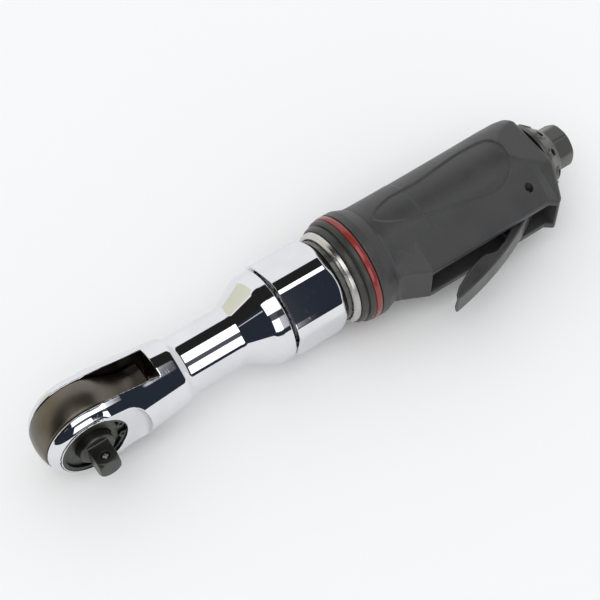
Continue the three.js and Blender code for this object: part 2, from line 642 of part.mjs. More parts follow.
function gripSleeve() {
  const bore = turned([
    [GRIP_X[0] - 1, 0], [GRIP_X[0] - 1, BODY_RADIUS + GAP], [147, BODY_RADIUS + GAP],
    [150.4, VALVE_BODY_RADIUS + GAP], [GRIP_X[1] + 1, VALVE_BODY_RADIUS + GAP], [GRIP_X[1] + 1, 0],
  ], 26);
  const recess = box(RECESS_X[0], RECESS_X[1], -50, -17.4, -RECESS_HALF, RECESS_HALF);
  const hubPocket = box(213, RECESS_X[1], -50, -15.6, -RECESS_HALF, RECESS_HALF);
  const { normal: [nx, ny, nz], reach } = FLANK_FACET;
  return gripSkin().trimByPlane([nx, ny, nz], -reach)
    .trimByPlane([nx, ny, -nz], -reach)
    .trimByPlane([-1, REAR_SLANT.rise, 0], -REAR_SLANT.x / Math.hypot(1, REAR_SLANT.rise))
    .subtract(bore)
    .subtract(recess)
    .subtract(hubPocket)
    .subtract(rodZ(-30, 30, PIN_RADIUS + GAP, 16).translate([PIN_X, -PIN_DEPTH, 0]))
    .subtract(rodY(-20, -14, 4.8, 20).translate([STEM_X, 0, 0]))
    .subtract(backSector(PAD_X[0] - GAP, PAD_X[1] + GAP, 21.6, 40, PAD_HALF_ANGLE + 0.015));
}

function buildBody() {
  place('clamp_nut', clampNut(), chrome);
  place('motor_housing', motorHousing(), castAluminium);
  place('steel_ring', turned([
    [STEEL_RING_X[0], 20], [STEEL_RING_X[0], 20.6], [STEEL_RING_X[0] + 1, 22.1], [STEEL_RING_X[1], 22.1],
    [STEEL_RING_X[1], 20], [STEEL_RING_X[0], 20],
  ], 32), satinSteel);
  place('front_collar', turned([
    [COLLAR_X[0], 20], [COLLAR_X[0], 22.6], [128.2, 23.2], [128.8, 22.6], [129.4, 24], [130.4, 24.7],
    [131.2, 24.2], [131.8, 24.9], [COLLAR_X[1], 25.1], [COLLAR_X[1], 20], [COLLAR_X[0], 20],
  ], 32), collarResin);
  place('red_ring', turned([
    [RED_RING_X[0], 20], [RED_RING_X[0], 25.1], [RED_RING_X[0] + 1.4, RED_RING_RADIUS], [RED_RING_X[1], 25.1],
    [RED_RING_X[1], 20], [RED_RING_X[0], 20],
  ], 32), redRubber);
  place('grip_sleeve', gripSleeve(), composite);
  place('back_pad', backSector(PAD_X[0], PAD_X[1], 21.9, 23.1, PAD_HALF_ANGLE), rubber);
}

// ---- throttle ----
// The lever's outer face at rest, from the pin to the tip.
const leverFace = new THREE.QuadraticBezierCurve(
  new THREE.Vector2(219, -25.4), new THREE.Vector2(192.5, -39.8), new THREE.Vector2(162, -44.3));

function leverSheet() {
  const outer = leverFace.getPoints(12);
  const inner = outer.map((point, i) => {
    const tangent = leverFace.getTangent(i / 12);
    return new THREE.Vector2(point.x + tangent.y * LEVER_SHEET, point.y - tangent.x * LEVER_SHEET);
  });
  return new THREE.Shape([...outer, ...inner.reverse()]);
}

function leverCheek() {
  const rim = leverFace.getPoints(12).slice(0, 12);
  const back = [
    [166.5, -40.6], [174.3, -36.4], [179, -34.2], [186.6, -31.9], [190, -33], [197, -30.6], [210, -23.6],
    [217.2, -17.7], [PIN_X - 1.5, -PIN_DEPTH + 3.7], [PIN_X + 1.5, -PIN_DEPTH + 3.7],
    [PIN_X + 3.6, -PIN_DEPTH + 1.6], [PIN_X + 3.8, -PIN_DEPTH - 1.4], [PIN_X + 1.6, -PIN_DEPTH - 4.4],
  ];
  return new THREE.Shape([...rim, ...back.map(([x, y]) => new THREE.Vector2(x, y))]);
}

function throttleLever() {
  const cheek = leverCheek();
  return sweptZ(leverSheet(), -LEVER_HALF, LEVER_HALF)
    .add(sweptZ(cheek, LEVER_HALF - LEVER_SHEET, LEVER_HALF))
    .add(sweptZ(cheek, -LEVER_HALF, -LEVER_HALF + LEVER_SHEET))
    .subtract(rodZ(-9, 9, PIN_RADIUS + GAP, 16).translate([PIN_X, -PIN_DEPTH, 0]));
}

function buildThrottle() {
  const stemAt = [STEM_X, 0, 0];
  place('throttle_lever', throttleLever(), leverCoat);
  place('lever_pin', solid(rodGeometry(-11.5, 11.5, PIN_RADIUS, 16)), toolSteel, [PIN_X, -PIN_DEPTH, 0]);
  place('valve_stem', turnedY([
    [-30.3, 0], [-30.3, 1.1], [-29.9, STEM_RADIUS], [-11.4, STEM_RADIUS], [-11.4, 2.6], [-10.6, 2.6],
    [-10.6, STEM_RADIUS], [-5.3, STEM_RADIUS], [-5.3, 0],
  ], 16), satinSteel, stemAt);
  place('stem_bush', tubeY(-17.2, -13.4, 1.8, 4.4, 20), bronze, stemAt);
  place('stem_oring', tubeY(-13.1, -11.8, 1.8, 3.4, 16), rubber, stemAt);
  place('valve_seat', tubeY(-6.2, -4.4, 2.2, 4.4, 20), bronze, stemAt);
  place('valve_ball', solid(new THREE.SphereGeometry(3.2, 12, 8)), satinSteel, [STEM_X, -1.7, 0]);
  place('valve_spring', tubeY(1.8, 9.3, 1.5, 2.3, 14), toolSteel, stemAt);
  place('valve_cap', turnedY([
    [6.2, 2.7], [6.2, 4.4], [14.2, 4.4], [14.2, 0], [13.5, 0], [13.5, 2.7], [6.2, 2.7],
  ], 20), toolSteel, stemAt);
}

// ---- inlet and exhaust ----
function inletBushing() {
  const corner = INLET_FLAT / Math.cos(Math.PI / 8);
  const octagon = new THREE.CylinderGeometry(corner, corner, 20, 8).rotateZ(Math.PI / 2).rotateX(0.35);
  const envelope = turned([
    [INLET_HEAD_X, 0], [INLET_HEAD_X, 10.2], [INLET_HEAD_X + 0.8, INLET_CORNER],
    [INLET_X - 1.6, INLET_CORNER], [INLET_X, 10], [INLET_X, 0],
  ], 32);
  const head = solid(octagon.translate(250, 0, 0)).intersect(envelope);
  const bore = turned([
    [229, 0], [229, 4.6], [240, 4.6], [243, INLET_BORE], [INLET_X - 1, INLET_BORE],
    [INLET_X + 0.5, INLET_BORE + 1.3], [INLET_X + 0.5, 0],
  ], 20);
  return head.add(rod(230, INLET_HEAD_X + 0.2, INLET_STEM, 20)).subtract(bore);
}

// A coned cup over the muffler, with a web around the inlet bushing and a ring of ports.
function exhaustDeflector() {
  const coneX = DEFLECTOR_X[0] + DEFLECTOR_BAND;
  const fall = (DEFLECTOR_RADIUS[0] - DEFLECTOR_RADIUS[1]) / (DEFLECTOR_X[1] - coneX);
  const coneRadius = (x) => DEFLECTOR_RADIUS[0] - fall * (x - coneX);
  const hub = INLET_STEM + 0.4;
  const rim = INLET_CORNER + 0.4;
  const mouth = DEFLECTOR_RADIUS[0] - DEFLECTOR_WALL;
  let body = turned([
    [DEFLECTOR_X[0], mouth], [DEFLECTOR_X[0], DEFLECTOR_RADIUS[0]], [coneX, DEFLECTOR_RADIUS[0]],
    [DEFLECTOR_X[1], DEFLECTOR_RADIUS[1]], [DEFLECTOR_X[1], rim], [WEB_X[1], rim], [WEB_X[1], hub],
    [WEB_X[0], hub], [WEB_X[0], coneRadius(WEB_X[0]) - DEFLECTOR_WALL], [coneX, mouth], [DEFLECTOR_X[0], mouth],
  ], 32);
  for (let i = 0; i < PORT_COUNT; i++) {
    const drill = new THREE.CylinderGeometry(1.7, 1.7, 6, 8).rotateZ(-Math.atan(fall));
    const port = solid(drill.translate(PORT_X, coneRadius(PORT_X), 0));
    body = body.subtract(port.rotate([360 * (i + 0.5) / PORT_COUNT, 0, 0]));
  }
  return body;
}

function inletScreen() {
  let disc = rod(226, 227, 4.1, 20);
  for (let i = 0; i < 5; i++) {
    disc = disc.subtract(rod(225, 228, 0.9, 6).translate([0, 2.4, 0]).rotate([72 * i, 0, 0]));
  }
  return disc;
}

function buildEnds() {
  place('inlet_bushing', inletBushing(), castAluminium);
  place('inlet_screen', inletScreen(), satinSteel);
  place('inlet_seal', tube(228.4, 229.7, 5, 8, 20), rubber);
  place('muffler', tube(BODY_END + 0.5, WEB_X[0] - 0.4, INLET_STEM + 0.5, 12.9, 20), felt);
  place('exhaust_deflector', exhaustDeflector(), castAluminium);
}

buildHead();
buildDrive();
buildMotor();
buildBody();
buildThrottle();
buildEnds();

export default airRatchet;
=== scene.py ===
import json
import math

import bpy
import numpy as np
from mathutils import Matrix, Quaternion, Vector


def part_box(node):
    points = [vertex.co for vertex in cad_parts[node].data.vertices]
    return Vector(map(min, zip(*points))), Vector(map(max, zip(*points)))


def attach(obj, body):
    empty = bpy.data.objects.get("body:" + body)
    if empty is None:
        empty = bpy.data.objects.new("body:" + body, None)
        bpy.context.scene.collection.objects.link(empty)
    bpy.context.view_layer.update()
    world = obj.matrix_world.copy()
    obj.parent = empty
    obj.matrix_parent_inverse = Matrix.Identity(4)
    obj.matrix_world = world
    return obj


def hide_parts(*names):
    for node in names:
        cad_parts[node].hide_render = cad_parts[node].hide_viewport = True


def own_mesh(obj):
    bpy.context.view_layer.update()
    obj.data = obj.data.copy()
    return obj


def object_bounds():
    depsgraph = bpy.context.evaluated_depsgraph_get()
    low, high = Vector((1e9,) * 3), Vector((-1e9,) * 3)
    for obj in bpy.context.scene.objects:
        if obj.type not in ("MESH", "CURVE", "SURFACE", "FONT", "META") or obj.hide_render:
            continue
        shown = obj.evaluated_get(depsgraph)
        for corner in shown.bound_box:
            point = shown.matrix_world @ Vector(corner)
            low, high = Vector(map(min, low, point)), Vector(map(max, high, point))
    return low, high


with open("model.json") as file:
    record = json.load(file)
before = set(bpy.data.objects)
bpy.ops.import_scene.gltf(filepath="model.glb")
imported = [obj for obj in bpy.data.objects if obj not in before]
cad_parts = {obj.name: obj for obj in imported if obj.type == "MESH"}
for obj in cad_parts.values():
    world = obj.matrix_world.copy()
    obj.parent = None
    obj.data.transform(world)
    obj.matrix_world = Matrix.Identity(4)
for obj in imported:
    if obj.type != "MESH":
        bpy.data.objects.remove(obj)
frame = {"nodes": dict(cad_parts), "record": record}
cad_low, cad_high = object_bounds()

# ---------------------------------------------------------------- the frame in millimetres
# Shapes are worked out in millimetres about the tool's axis: x from the drive axis towards the
# air inlet, y across (the square drive points to -y), z up.
RECORD = frame["record"]
BODY_OF = {node: body for body, nodes in RECORD["behaviour"]["bodies"].items() for node in nodes}
SLOT_OF = {part["node"]: part["material_slot"] for part in RECORD["subparts"]}
MM = 1000
NUT_LOW, NUT_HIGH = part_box("clamp_nut")
AXIS_Y = (NUT_LOW[1] + NUT_HIGH[1]) / 2 * MM      # height of the tool's axis above the drive's end face


def span(node):
    """Lowest and highest x, y and z of a CAD node, in millimetres about the tool's axis."""
    origin = (0, AXIS_Y, 0)
    low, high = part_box(node)
    return [(low[i] * MM - origin[i], high[i] * MM - origin[i]) for i in range(3)]


def to_frame(points):
    """Points in millimetres about the tool's axis, as metres in the frame."""
    return (np.asarray(points, dtype=float) + [0, AXIS_Y, 0]) / MM


# ---------------------------------------------------------------- fields and skins
# A field is a distance in millimetres, negative inside a solid. Its arrays broadcast over a grid.
def union(a, b, fillet=0.0):
    """Both solids together, with the inner corner between them filled to this radius."""
    if not fillet:
        return np.minimum(a, b)
    corner = np.hypot(np.maximum(fillet - a, 0), np.maximum(fillet - b, 0))
    return np.maximum(fillet, np.minimum(a, b)) - corner


def both(a, b, edge=0.0):
    """What the two solids share, with the outer edge between them rounded to this radius."""
    if not edge:
        return np.maximum(a, b)
    corner = np.hypot(np.maximum(edge + a, 0), np.maximum(edge + b, 0))
    return np.minimum(-edge, np.maximum(a, b)) + corner


def cut(a, b, edge=0.0):
    """The first solid without the second."""
    return both(a, -b, edge)


def slab(v, low, high):
    """The space between two parallel planes."""
    return np.abs(v - (low + high) / 2) - (high - low) / 2


def smooth(edge0, edge1, v):
    """0 before edge0, 1 after edge1 and an even step between."""
    t = np.clip((v - edge0) / (edge1 - edge0), 0, 1)
    return t * t * (3 - 2 * t)


# The twelve edges of a grid cell, each as its first corner and the axis that it runs along.
EDGES = [(corner, axis) for axis in range(3) for corner in np.ndindex(2, 2, 2) if corner[axis] == 0]
SETTLING_STEPS = 4              # how often a skin's points are moved onto the surface
SETTLING_SHARE = 0.9            # and how much of the way each time


def crossings(values, cells):
    """Mean point, in cells, where the field changes sign on the edges of each active cell."""
    total = np.zeros((len(cells), 3))
    count = np.zeros(len(cells))
    for corner, axis in EDGES:
        start = cells + corner
        end = start.copy()
        end[:, axis] += 1
        a = values[tuple(start.T)]
        b = values[tuple(end.T)]
        hit = (a < 0) != (b < 0)
        where = start[hit].astype(float)
        where[:, axis] += a[hit] / (a[hit] - b[hit])
        total[hit] += where
        count[hit] += 1
    return total / count[:, None]


def quads_across(inside, index, axis):
    """Quads around the grid lines along one axis where the field changes sign."""
    u, w = (axis + 1) % 3, (axis + 2) % 3
    ahead = [slice(None)] * 3
    behind = [slice(None)] * 3
    ahead[axis] = slice(1, None)
    behind[axis] = slice(None, -1)
    change = inside[tuple(behind)] != inside[tuple(ahead)]
    at = np.argwhere(change)
    at = at[(at[:, u] > 0) & (at[:, w] > 0)]
    at = at[(at[:, u] < inside.shape[u] - 1) & (at[:, w] < inside.shape[w] - 1)]
    corners = []
    for du, dw in ((0, 0), (-1, 0), (-1, -1), (0, -1)):
        cell = at.copy()
        cell[:, u] += du
        cell[:, w] += dw
        corners.append(index[tuple(cell.T)])
    quads = np.stack(corners, axis=1)
    outward = inside[tuple(at.T)]
    quads[~outward] = quads[~outward][:, ::-1]
    return quads


def slope(field, points, reach=0.02):
    """The field's gradient at each point."""
    result = np.empty_like(points)
    for axis in range(3):
        step = np.zeros(3)
        step[axis] = reach
        result[:, axis] = (field(*(points + step).T) - field(*(points - step).T)) / (2 * reach)
    return result


def mesh_object(name, points, faces, normals=None):
    """A smooth-shaded mesh from points in millimetres; faces all have the same number of corners."""
    faces = np.asarray(faces)
    mesh = bpy.data.meshes.new(name)
    mesh.vertices.add(len(points))
    mesh.vertices.foreach_set("co", to_frame(points).astype(np.float32).ravel())
    mesh.loops.add(faces.size)
    mesh.loops.foreach_set("vertex_index", faces.astype(np.int32).ravel())
    mesh.polygons.add(len(faces))
    mesh.polygons.foreach_set("loop_start", np.arange(0, faces.size, faces.shape[1], dtype=np.int32))
    mesh.update(calc_edges=True)
    mesh.validate()
    mesh.shade_smooth()
    if normals is not None:
        mesh.normals_split_custom_set_from_vertices(normals.tolist())
    piece = bpy.data.objects.new(name, mesh)
    bpy.context.scene.collection.objects.link(piece)
    return piece


def skin(name, field, low, high, step):
    """The surface where the field is zero, as even quads whose points lie on the surface."""
    low = np.asarray(low, dtype=float) - 2 * step
    counts = np.ceil((np.asarray(high) + 2 * step - low) / step).astype(int) + 1
    lines = [low[i] + step * np.arange(counts[i]) for i in range(3)]
    values = np.broadcast_to(field(*np.meshgrid(*lines, indexing="ij", sparse=True)), counts)
    inside = values < 0
    total = sum(inside[tuple(slice(c, counts[i] - 1 + c) for i, c in enumerate(corner))].astype(np.int8)
                for corner in np.ndindex(2, 2, 2))
    cells = np.argwhere((total > 0) & (total < 8))
    index = np.full(total.shape, -1)
    index[tuple(cells.T)] = np.arange(len(cells))
    points = low + step * crossings(values, cells)
    for _ in range(SETTLING_STEPS):
        normal = slope(field, points)
        size = np.maximum((normal ** 2).sum(axis=1), 1e-4)
        move = np.clip(field(*points.T) / size, -step, step)
        points -= SETTLING_SHARE * move[:, None] * normal
    normal = slope(field, points)
    normal /= np.maximum(np.linalg.norm(normal, axis=1), 1e-6)[:, None]
    faces = np.concatenate([quads_across(inside, index, axis) for axis in range(3)])
    return mesh_object(name, points, faces, normal)


# ---------------------------------------------------------------- turned pieces
def rounded(points, radius, steps=5):
    """A closed outline with each corner turned into an arc of about this radius."""
    points = [np.asarray(p, dtype=float) for p in points]
    result = []
    for i, corner in enumerate(points):
        before, after = points[i - 1] - corner, points[(i + 1) % len(points)] - corner
        reach = min(radius, 0.45 * np.linalg.norm(before), 0.45 * np.linalg.norm(after))
        start = corner + before / np.linalg.norm(before) * reach
        end = corner + after / np.linalg.norm(after) * reach
        for t in np.linspace(0, 1, steps):
            result.append((1 - t) ** 2 * start + 2 * t * (1 - t) * corner + t * t * end)
    return result


def turned(name, outline, segments=160, along="x", centre=(0, 0, 0)):
    """A ring, disc or pin turned about the line through centre along x, y or z."""
    outline = np.asarray(outline)
    turn = np.linspace(0, 2 * math.pi, segments, endpoint=False)
    radius = np.maximum(outline[:, 1], 1e-3)
    a = radius[:, None] * np.cos(turn)
    b = radius[:, None] * np.sin(turn)
    length = np.repeat(outline[:, :1], segments, axis=1)
    order = {"x": (length, a, b), "y": (b, length, a), "z": (a, b, length)}[along]
    points = np.stack(order, axis=-1).reshape(-1, 3) + centre
    rows = len(outline)
    i, j = np.meshgrid(np.arange(rows), np.arange(segments), indexing="ij")
    k, l = (i + 1) % rows, (j + 1) % segments
    faces = np.stack([i * segments + j, k * segments + j, k * segments + l, i * segments + l], axis=-1)
    area = np.sum(outline[:, 0] * np.roll(outline[:, 1], -1) - np.roll(outline[:, 0], -1) * outline[:, 1])
    faces = faces.reshape(-1, 4)
    if area > 0:
        faces = faces[:, ::-1]
    return mesh_object(name, points, faces)


# ---------------------------------------------------------------- materials
SLOT_HALF = 7.4                 # the head's slot: half its width, and where it ends along x
SLOT_END = 35.0


class Nodes:
    """A short way to write a shader: every method adds one node and returns its output."""

    def __init__(self, name):
        self.material = bpy.data.materials.new(name)
        self.material.use_nodes = True
        self.tree = self.material.node_tree
        self.shader = self.tree.nodes["Principled BSDF"]
        self.coordinates = self.tree.nodes.new("ShaderNodeTexCoord").outputs["Object"]

    def node(self, kind, inputs=(), **settings):
        made = self.tree.nodes.new(kind)
        for key, value in settings.items():
            setattr(made, key, value)
        for key, value in dict(inputs).items():
            if isinstance(value, bpy.types.NodeSocket):
                self.tree.links.new(value, made.inputs[key])
            else:
                made.inputs[key].default_value = value
        return made

    def scaled(self, scale):
        """Object coordinates in units of 1/scale metres; scale is a number or three."""
        sizes = scale if isinstance(scale, (tuple, list)) else (scale,) * 3
        return self.node("ShaderNodeMapping", {"Vector": self.coordinates, "Scale": sizes}).outputs[0]

    def noise(self, scale, detail=3.0, rough=0.5):
        inputs = {"Vector": self.scaled(scale), "Scale": 1.0, "Detail": detail, "Roughness": rough}
        return self.node("ShaderNodeTexNoise", inputs).outputs["Fac"]

    def cells(self, scale):
        inputs = {"Vector": self.scaled(scale), "Scale": 1.0}
        return self.node("ShaderNodeTexVoronoi", inputs, feature="DISTANCE_TO_EDGE").outputs["Distance"]

    def remap(self, value, low, high, to_low=0.0, to_high=1.0):
        inputs = {"Value": value, "From Min": low, "From Max": high, "To Min": to_low, "To Max": to_high}
        return self.node("ShaderNodeMapRange", inputs).outputs["Result"]

    def math(self, operation, *values):
        return self.node("ShaderNodeMath", dict(enumerate(values)), operation=operation).outputs[0]

    def multiply(self, a, b):
        return self.math("MULTIPLY", a, b)

    def add(self, a, b):
        return self.math("ADD", a, b)

    def blend(self, amount, a, b):
        made = self.node("ShaderNodeMix", {"Factor": amount}, data_type="RGBA")
        for socket, value in ((made.inputs[6], a), (made.inputs[7], b)):
            if isinstance(value, bpy.types.NodeSocket):
                self.tree.links.new(value, socket)
            else:
                socket.default_value = (*value, 1.0)
        return made.outputs[2]

    def edges(self, low, high):
        """1 on convex edges, 0 on flat ground."""
        pointiness = self.tree.nodes.new("ShaderNodeNewGeometry").outputs["Pointiness"]
        return self.remap(pointiness, low, high)

    def bump(self, height, distance, strength):
        inputs = {"Height": height, "Distance": distance, "Strength": strength}
        return self.node("ShaderNodeBump", inputs).outputs["Normal"]

    def surface(self, **values):
        """Sets the shader's inputs and returns the finished material."""
        names = {"color": "Base Color", "roughness": "Roughness", "metallic": "Metallic", "normal": "Normal",
                 "specular": "Specular IOR Level"}
        for key, value in values.items():
            socket = self.shader.inputs[names[key]]
            if isinstance(value, bpy.types.NodeSocket):
                self.tree.links.new(value, socket)
            elif key == "color":
                socket.default_value = (*value, 1.0)
            else:
                socket.default_value = value
        return self.material


def metal(name, color, tint, rough, rough_spread, scratch, grain, grain_depth):
    """Metal with cloudy tone, fine scratches and a directional grain."""
    n = Nodes(name)
    cloud = n.noise(70, 4)
    fine = n.noise((2600, 260, 260), 2)
    other = n.noise((240, 2400, 2400), 2)
    scratches = n.multiply(n.remap(fine, 0.66, 0.74), n.remap(other, 0.45, 0.6))
    roughness = n.add(n.remap(cloud, 0.3, 0.7, rough - rough_spread, rough + rough_spread),
                      n.multiply(scratches, scratch))
    shade = n.blend(n.remap(cloud, 0.35, 0.7), color, tint)
    height = n.add(n.multiply(n.noise(grain, 3), grain_depth), n.multiply(scratches, -0.3 * scratch))
    return n.surface(color=shade, roughness=roughness, metallic=1.0, normal=n.bump(height, 0.0001, 0.6))


def chrome_plate():
    """Bright chrome: almost clear, with faint haze and hairline scratches, and painted shade on the walls
    inside the head's slot.
    """
    n = Nodes("chrome_plate")
    haze = n.noise(55, 4)
    hair = n.multiply(n.remap(n.noise((3000, 180, 180), 2), 0.68, 0.73), n.remap(n.noise(160, 2), 0.5, 0.62))
    specks = n.remap(n.noise(1500, 2), 0.70, 0.76)
    roughness = n.add(n.remap(haze, 0.35, 0.75, 0.025, 0.075), n.multiply(n.add(hair, specks), 0.10))
    shade = n.blend(n.remap(haze, 0.3, 0.7), (0.80, 0.81, 0.83), (0.72, 0.73, 0.76))
    height = n.add(n.multiply(n.noise(110, 2), 0.06), n.multiply(hair, -0.05))
    # Painted shade: the walls inside the head's slot and its bore are coloured near black and made rougher.
    inside = painted_slot_shade(n)
    shade = n.blend(inside, shade, (0.045, 0.040, 0.034))
    roughness = n.add(roughness, n.multiply(inside, 0.35))
    return n.surface(color=shade, roughness=roughness, metallic=1.0, normal=n.bump(height, 0.0002, 0.35))


def painted_slot_shade(n):
    """1 on the walls inside the head's slot and its bore, where shade is painted on, 0 elsewhere."""
    place = n.node("ShaderNodeSeparateXYZ", {0: n.coordinates}).outputs
    off_axis = n.math("ABSOLUTE", n.add(place["Y"], -AXIS_Y / MM))
    across = n.remap(off_axis, (SLOT_HALF + 0.12) / MM, (SLOT_HALF + 0.08) / MM)
    return n.multiply(across, n.remap(place["X"], (SLOT_END + 0.25) / MM, (SLOT_END + 0.15) / MM))


def moulded(name, color, worn, rough, pebble, depth, specular):
    """Moulded plastic or rubber: fine pebble texture, slight mottling and paler worn edges."""
    n = Nodes(name)
    mottle = n.noise(90, 4)
    grain = n.cells(pebble)
    micro = n.noise(5000, 2)
    edge = n.edges(0.505, 0.56)
    shade = n.blend(n.remap(mottle, 0.35, 0.7, 0, 0.35), color, worn)
    shade = n.blend(n.multiply(edge, 0.5), shade, worn)
    roughness = n.remap(mottle, 0.3, 0.7, rough - 0.07, rough + 0.06)
    height = n.add(n.remap(grain, 0.0, 0.35, 0.0, 1.0), n.multiply(micro, 0.35))
    return n.surface(color=shade, roughness=roughness, specular=specular, normal=n.bump(height, depth, 0.5))


# Colour, second tone, roughness and its spread, scratches, grain per metre along x, y and z, its depth.
METALS = {
    "satin_steel": ((0.62, 0.61, 0.58), (0.50, 0.49, 0.46), 0.26, 0.06, 0.15, (9000, 120, 120), 0.5),
    "dark_steel": ((0.13, 0.115, 0.095), (0.19, 0.17, 0.14), 0.31, 0.07, 0.10, (300, 1500, 1500), 0.25),
    "black_oxide": ((0.070, 0.074, 0.068), (0.105, 0.108, 0.098), 0.38, 0.08, 0.12, (700, 700, 700), 0.35),
    "tool_steel": ((0.45, 0.45, 0.46), (0.36, 0.36, 0.37), 0.33, 0.07, 0.15, (400, 4000, 4000), 0.3),
    "bronze": ((0.52, 0.36, 0.16), (0.42, 0.28, 0.12), 0.4, 0.06, 0.1, (2500, 2500, 2500), 0.5),
    "cast_alloy": ((0.19, 0.19, 0.18), (0.14, 0.14, 0.13), 0.42, 0.06, 0.1, (1800, 1800, 1800), 0.6),
}
# Colour, worn colour, roughness, pebbles per metre, their depth in metres, specular level.
MOULDINGS = {
    "lever_coat": ((0.019, 0.019, 0.020), (0.05, 0.05, 0.05), 0.36, 2600, 0.00001, 1.0),
    "composite": ((0.040, 0.040, 0.041), (0.060, 0.060, 0.061), 0.42, 1500, 0.00005, 0.5),
    "vane_resin": ((0.30, 0.20, 0.11), (0.36, 0.25, 0.15), 0.6, 900, 0.00005, 0.4),
    "rubber": ((0.020, 0.020, 0.020), (0.035, 0.035, 0.035), 0.7, 1200, 0.00008, 0.3),
    "red_rubber": ((0.23, 0.024, 0.021), (0.30, 0.05, 0.04), 0.2, 1700, 0.00001, 0.6),
    "collar_resin": ((0.034, 0.034, 0.030), (0.06, 0.06, 0.05), 0.36, 1400, 0.00003, 0.4),
    "felt": ((0.45, 0.44, 0.40), (0.55, 0.54, 0.5), 0.95, 700, 0.0002, 0.1),
}


def make_materials():
    made = {"chrome_plate": chrome_plate()}
    made.update({name: metal(name, *values) for name, values in METALS.items()})
    made.update({name: moulded(name, *values) for name, values in MOULDINGS.items()})
    return made


MATERIALS = make_materials()


def stands_for(piece, node):
    """The piece replaces the CAD node: it rides on its body and takes its material slot's finish."""
    piece.data.materials.clear()
    piece.data.materials.append(MATERIALS[SLOT_OF[node]])
    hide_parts(node)
    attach(piece, BODY_OF[node])
    return piece


# ---------------------------------------------------------------- ratchet head
HEAD_RADIUS = 20.3
HEAD_CROWN = 27.0               # crown across the arms at the drive axis, and where they meet the shank
ROOT_CROWN = 16.0
CROWN_SHARE = 0.95
HEAD_EDGE = 4.5
ARM_FACE = 13.25                # tool axis to the face of an arm
ARMS_SINK = 1.5                 # how far the arms' sides sink into the shank
ARMS_END = 30.0
SHANK_X = 35.0                  # where the shank has SHANK_RADIUS
SHANK_RADIUS = 16.4
SHANK_TAPER = 0.12
SHANK_START = 8.0
HEAD_END = 47.6
SPOT_RADIUS = 24.2              # flat around the recess, and the sweep of its edge
SPOT_EDGE = 3.0
RECESS_RADIUS = 14.9
GROOVE_RADIUS = 15.6
GROOVE_Y = (-12.3, -11.0)
STUB_RADIUS = 9.0               # the anvil's bearing in the far arm
STUB_END = 12.1
RUNNING_GAP = 0.3
NECK_RADIUS = 13.6
FLARE_START = 73.75
FLARE_END = 87.3
COLLAR_RADIUS = 21.4
COLLAR_END = NUT_LOW[0] * MM - 0.3


def arms_field(x, y, z):
    """A crowned disc whose sides run straight back into the shank."""
    lean = math.atan(SHANK_TAPER)
    side = math.sin(lean) * x + math.cos(lean) * np.abs(z) - HEAD_RADIUS
    plan = np.where(x > HEAD_RADIUS * math.sin(lean), side, np.hypot(x, z) - HEAD_RADIUS)
    back = smooth(2, ARMS_END, x)
    crown = CROWN_SHARE * y * y / (2 * (HEAD_CROWN * (1 - back) + ROOT_CROWN * back))
    sink = ARMS_SINK * smooth(16, ARMS_END - 1, x)
    return np.maximum(both(plan + crown + sink, np.abs(y) - ARM_FACE, HEAD_EDGE), x - ARMS_END)


def shank_field(x, y, z):
    """The tapered shank behind the arms, round about the tool's axis."""
    radius = np.hypot(y, z)
    lean = math.atan(SHANK_TAPER)
    return both((radius - SHANK_RADIUS + SHANK_TAPER * (x - SHANK_X)) * math.cos(lean), SHANK_START - x, 1.0)


def head_field(x, y, z):
    """The forged head with its slot for the yoke, the recess for the drive and the far bearing."""
    body = union(arms_field(x, y, z), shank_field(x, y, z), 1.6)
    body = both(body, x - HEAD_END, HEAD_EDGE)
    radius = np.hypot(y, z)
    body = union(body, both(radius - NECK_RADIUS, ARMS_END - x), 1.0)
    rise = (COLLAR_RADIUS - NECK_RADIUS) / (FLARE_END - FLARE_START)
    flare = (radius - NECK_RADIUS - (x - FLARE_START) * rise) / math.hypot(1, rise)
    flare = both(both(flare, radius - COLLAR_RADIUS, 1.2), FLARE_START - 6 - x)
    body = both(union(body, flare, 0.6), x - COLLAR_END, 0.4)
    drive = np.hypot(x, z)
    body = cut(body, both(drive - SPOT_RADIUS, ARM_FACE - 0.05 - np.abs(y), SPOT_EDGE), 0.35)
    body = cut(body, both(np.abs(y) - SLOT_HALF, x - SLOT_END), 0.6)
    body = cut(body, both(drive - RECESS_RADIUS, y + SLOT_HALF - 1), 0.45)
    body = cut(body, both(drive - GROOVE_RADIUS, slab(y, *GROOVE_Y)))
    return cut(body, both(drive - STUB_RADIUS - RUNNING_GAP, SLOT_HALF - 1 - y), 0.3)


YOKE_RADIUS = 20.7
YOKE_HALF = 7.1
YOKE_CROWN = 1.1                # fall of the crown at the yoke's faces
YOKE_BORE = 13.2
YOKE_END = 32.5
TAIL_HALF = 8.8
FORK_HALF = 6.75                # the fork in the tail, around the crank
FORK_START = 23.5


def yoke_field(x, y, z):
    disc = np.hypot(x, z) - YOKE_RADIUS + YOKE_CROWN * (y / YOKE_HALF) ** 2
    tail = both(slab(x, 0.0, YOKE_END), np.abs(z) - TAIL_HALF, 1.5)
    body = both(union(disc, tail, 8.0), x - YOKE_END, 1.0)
    body = both(body, np.abs(y) - YOKE_HALF, 0.8)
    body = cut(body, both(FORK_START - x, np.abs(z) - FORK_HALF), 0.6)
    return cut(body, np.hypot(x, z) - YOKE_BORE, 0.4)


SQUARE_HALF = 4.76              # 3/8 in drive
SQUARE_LENGTH = 10.4
SQUARE_CHAMFER = 0.8
DRIVE_END = -AXIS_Y
HUB_END = DRIVE_END + SQUARE_LENGTH
HUB_RADIUS = 8.0
FLANGE_RADIUS = 14.5
FLANGE_Y = (-9.6, -7.7)
DRUM_RADIUS = 12.6
BALL_Y = -21.3
BALL_HOLE = 1.9


